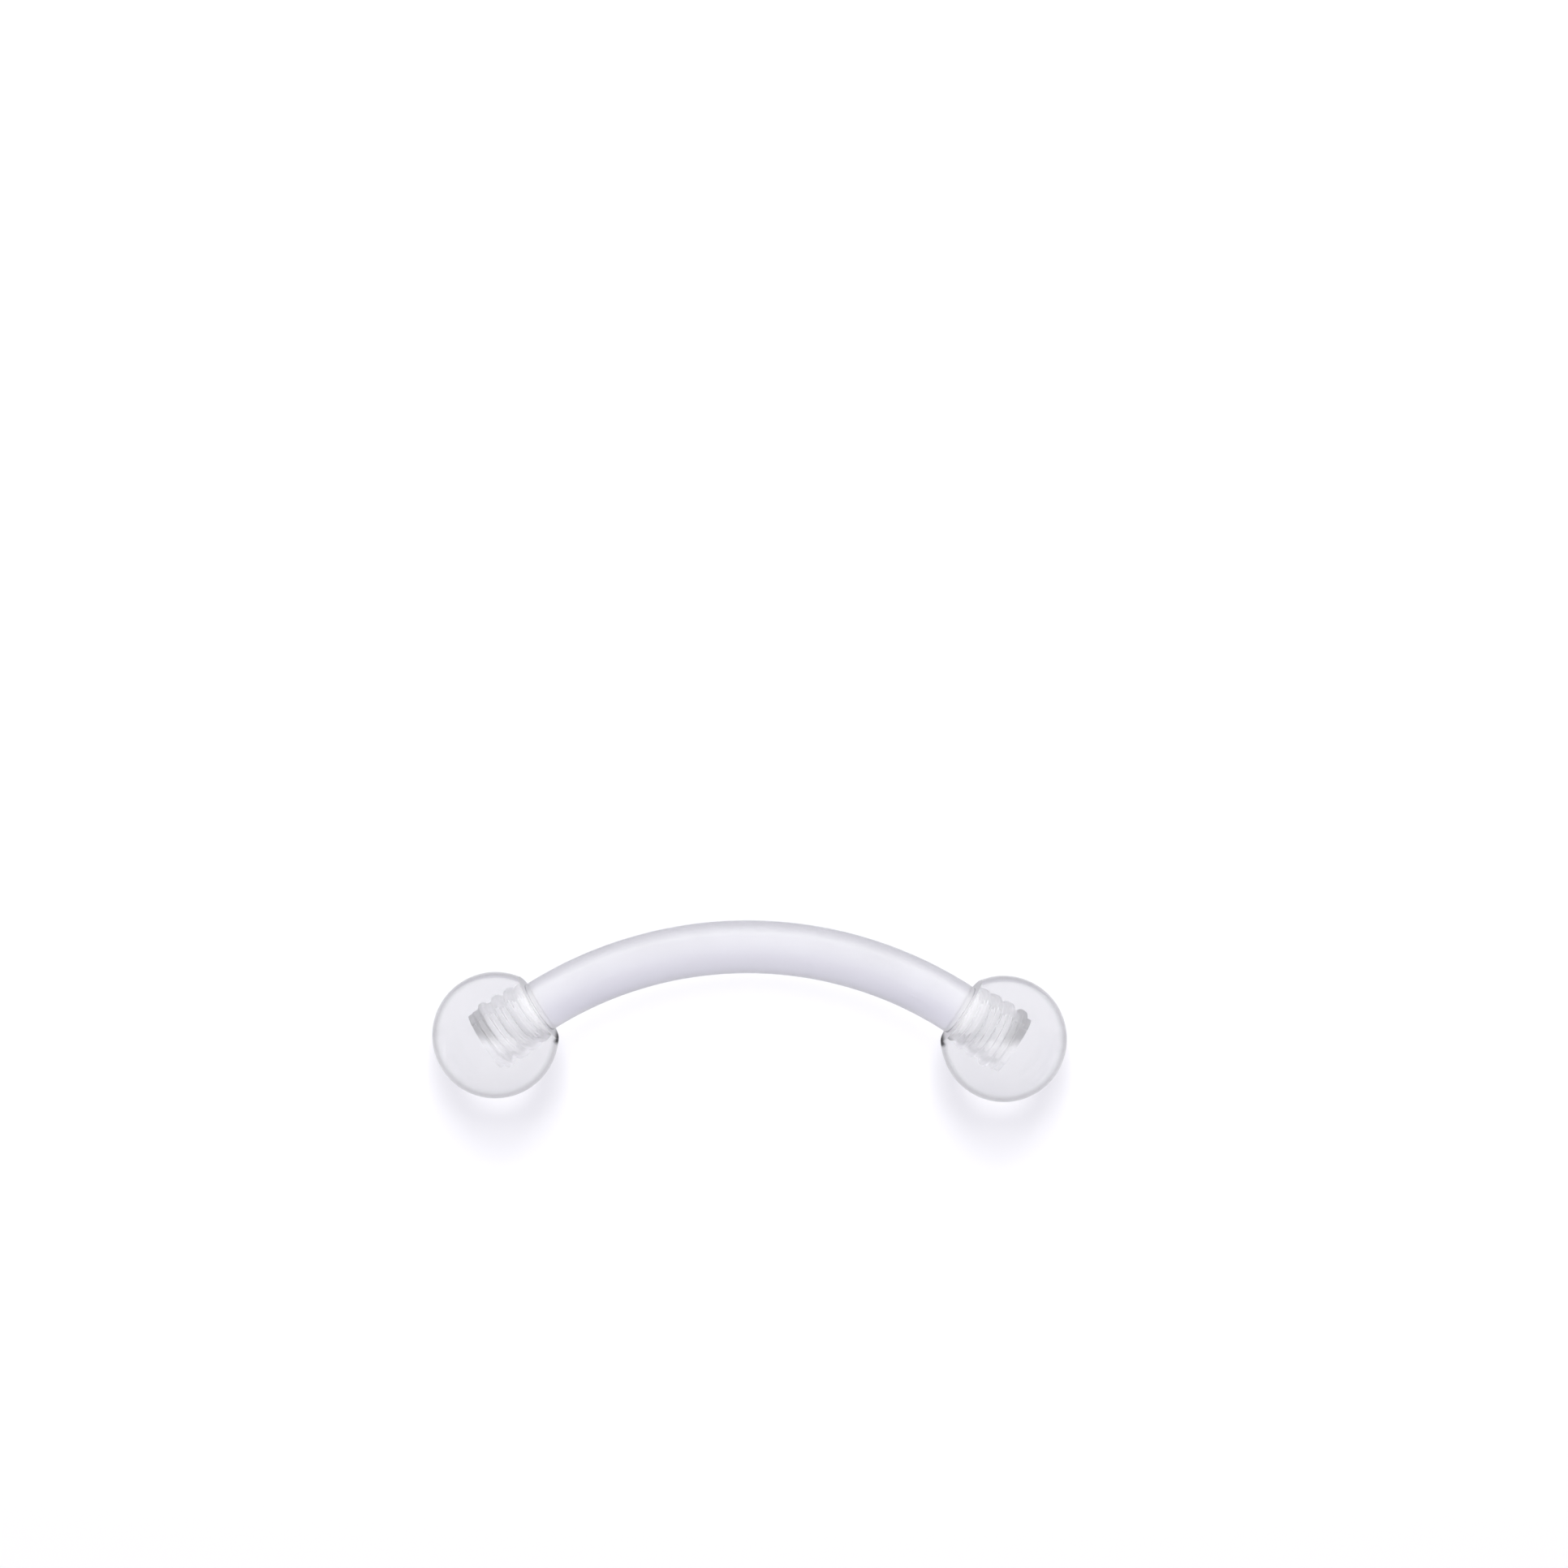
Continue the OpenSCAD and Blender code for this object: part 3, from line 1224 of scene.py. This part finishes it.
@dataclass
class Studio:
    """A pale floor, soft light and the camera.

    The sky goes from the horizon's colour to the zenith's up to the height sky_turn, where 1 is
    overhead. lean is how far the camera leans off square to the plane of the arch.
    """

    arch: Arch
    photo: Photo
    key: Lamp = Lamp("key", math.radians(38.0), 0.08, 0.92, mirrored=False)
    fill: Lamp = Lamp("fill", math.radians(50.0), 0.36, 0.14, mirrored=True)
    lens_mm: float = 100.0
    sensor_mm: float = 36.0
    lean: float = math.radians(12.0)
    floor_span: float = 1.6
    floor_colour: Colour = (0.93, 0.93, 0.94, 1.0)
    floor_roughness: float = 0.9
    nearest: float = 0.002
    lamp_distance: float = 0.3
    horizon: Colour = (0.74, 0.73, 0.81, 1.0)
    zenith: Colour = (0.45, 0.44, 0.48, 1.0)
    sky_turn: float = 0.45

    def build(self) -> None:
        """Make the floor, the lights and the camera."""
        self._floor()
        self._world()
        for lamp in (self.key, self.fill):
            self._light(lamp)
        self._camera()

    def _floor(self) -> None:
        """Lay a plain pale floor under the barbell."""
        half = self.floor_span / 2
        mesh = bpy.data.meshes.new("floor")
        corners = [(-half, -half, 0.0), (half, -half, 0.0), (half, half, 0.0), (-half, half, 0.0)]
        mesh.from_pydata(corners, [], [(0, 1, 2, 3)])
        floor = bpy.data.objects.new("floor", mesh)
        bpy.context.scene.collection.objects.link(floor)
        paint = bpy.data.materials.new("pale_floor")
        paint.use_nodes = True
        shader = paint.node_tree.nodes["Principled BSDF"]
        shader.inputs["Base Color"].default_value = self.floor_colour
        shader.inputs["Roughness"].default_value = self.floor_roughness
        shader.inputs["Specular IOR Level"].default_value = 0.0
        mesh.materials.append(paint)

    def _world(self) -> None:
        """Surround the scene with grey light, brighter towards the horizon."""
        world = bpy.data.worlds.new("studio")
        tree = Tree.cleared(world)
        direction = tree.node("ShaderNodeTexCoord").outputs["Generated"]
        parts = tree.node("ShaderNodeSeparateXYZ", inputs={0: direction}).outputs
        overhead = tree.ramp(Number(tree, parts["Z"]), 0.0, self.sky_turn)
        colour = tree.blend(self.horizon, self.zenith, overhead)
        sky = tree.node("ShaderNodeBackground", inputs={"Color": colour})
        tree.node("ShaderNodeOutputWorld", inputs={"Surface": sky.outputs[0]})
        bpy.context.scene.world = world

    def _light(self, lamp: Lamp) -> None:
        """Hang one soft light in front of the crown, facing the barbell.

        Args:
            lamp: The light's place, size and power.
        """
        direction = Vector((0.0, math.cos(lamp.elevation), math.sin(lamp.elevation)))
        place = self.lamp_distance * direction
        data = bpy.data.lights.new(lamp.name, "AREA")
        data.shape = "SQUARE"
        data.size = lamp.span
        data.energy = lamp.power
        light = bpy.data.objects.new(lamp.name, data)
        light.location = place
        light.visible_transmission = False
        light.visible_glossy = lamp.mirrored
        light.rotation_euler = (-place).to_track_quat("-Z", "Y").to_euler()
        bpy.context.scene.collection.objects.link(light)

    def _camera(self) -> None:
        """Look at the arch as the photograph does, with the crown at the top of the picture."""
        turn = Euler(self.arch.lying_turn).to_matrix()
        shift = Vector(self.arch.lying_shift)
        toward_camera = turn @ Vector((0.0, -math.cos(self.lean), math.sin(self.lean)))
        up = turn @ Vector((0.0, math.sin(self.lean), math.cos(self.lean)))
        right = up.cross(toward_camera)
        tilt = math.atan2(
            self.photo.left_ball[1] - self.photo.right_ball[1],
            self.photo.right_ball[0] - self.photo.left_ball[0],
        )
        roll = Matrix.Rotation(-tilt, 3, toward_camera)
        up, right = roll @ up, roll @ right
        mid_x = (self.photo.left_ball[0] + self.photo.right_ball[0]) / 2
        mid_y = (self.photo.left_ball[1] + self.photo.right_ball[1]) / 2
        per_pixel = MM / self.photo.pixels_per_mm
        centre = self.photo.width / 2
        off = right * (centre - mid_x) * per_pixel + up * (mid_y - centre) * per_pixel
        distance = self.lens_mm * self.photo.width * per_pixel / self.sensor_mm
        place = shift + toward_camera * distance
        aim = shift + off - place
        back = -aim.normalized()
        side = up.cross(back).normalized()
        top = back.cross(side)
        axes = Matrix((side, top, back)).transposed()
        data = bpy.data.cameras.new("camera")
        data.lens = self.lens_mm
        data.sensor_width = self.sensor_mm
        data.clip_start = self.nearest
        data.clip_end = self.floor_span * 2
        camera = bpy.data.objects.new("camera", data)
        camera.matrix_world = Matrix.Translation(place) @ axes.to_4x4()
        bpy.context.scene.collection.objects.link(camera)
        bpy.context.scene.camera = camera


def show(piece: bpy.types.Object, node: str) -> None:
    """Let a piece ride on its body in place of its CAD node, and report it.

    Args:
        piece: The finished piece.
        node: The CAD node that it stands for, which is also its body's name.
    """
    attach(piece, node)
    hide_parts(node)
    log.info("%s: %d faces, for %s", piece.name, len(piece.data.polygons), node)


def main() -> None:
    """Build the studio and every piece of the barbell, in order."""
    logging.basicConfig(level=logging.INFO, format="%(name)s: %(message)s")
    bpy.context.scene.view_settings.view_transform = "Standard"
    arch = Arch()
    thread = Thread()
    clear = ClearPlastic()
    clear_material = clear.material()
    Studio(arch, Photo()).build()
    show(Bar(arch, thread, MilkyPlastic()).build(), "bar")
    for side in Side:
        ball = ScrewBall(side, arch, thread, clear, clear_material).build()
        show(ball, f"ball_{side.name.lower()}")


if __name__ == "__main__":
    main()
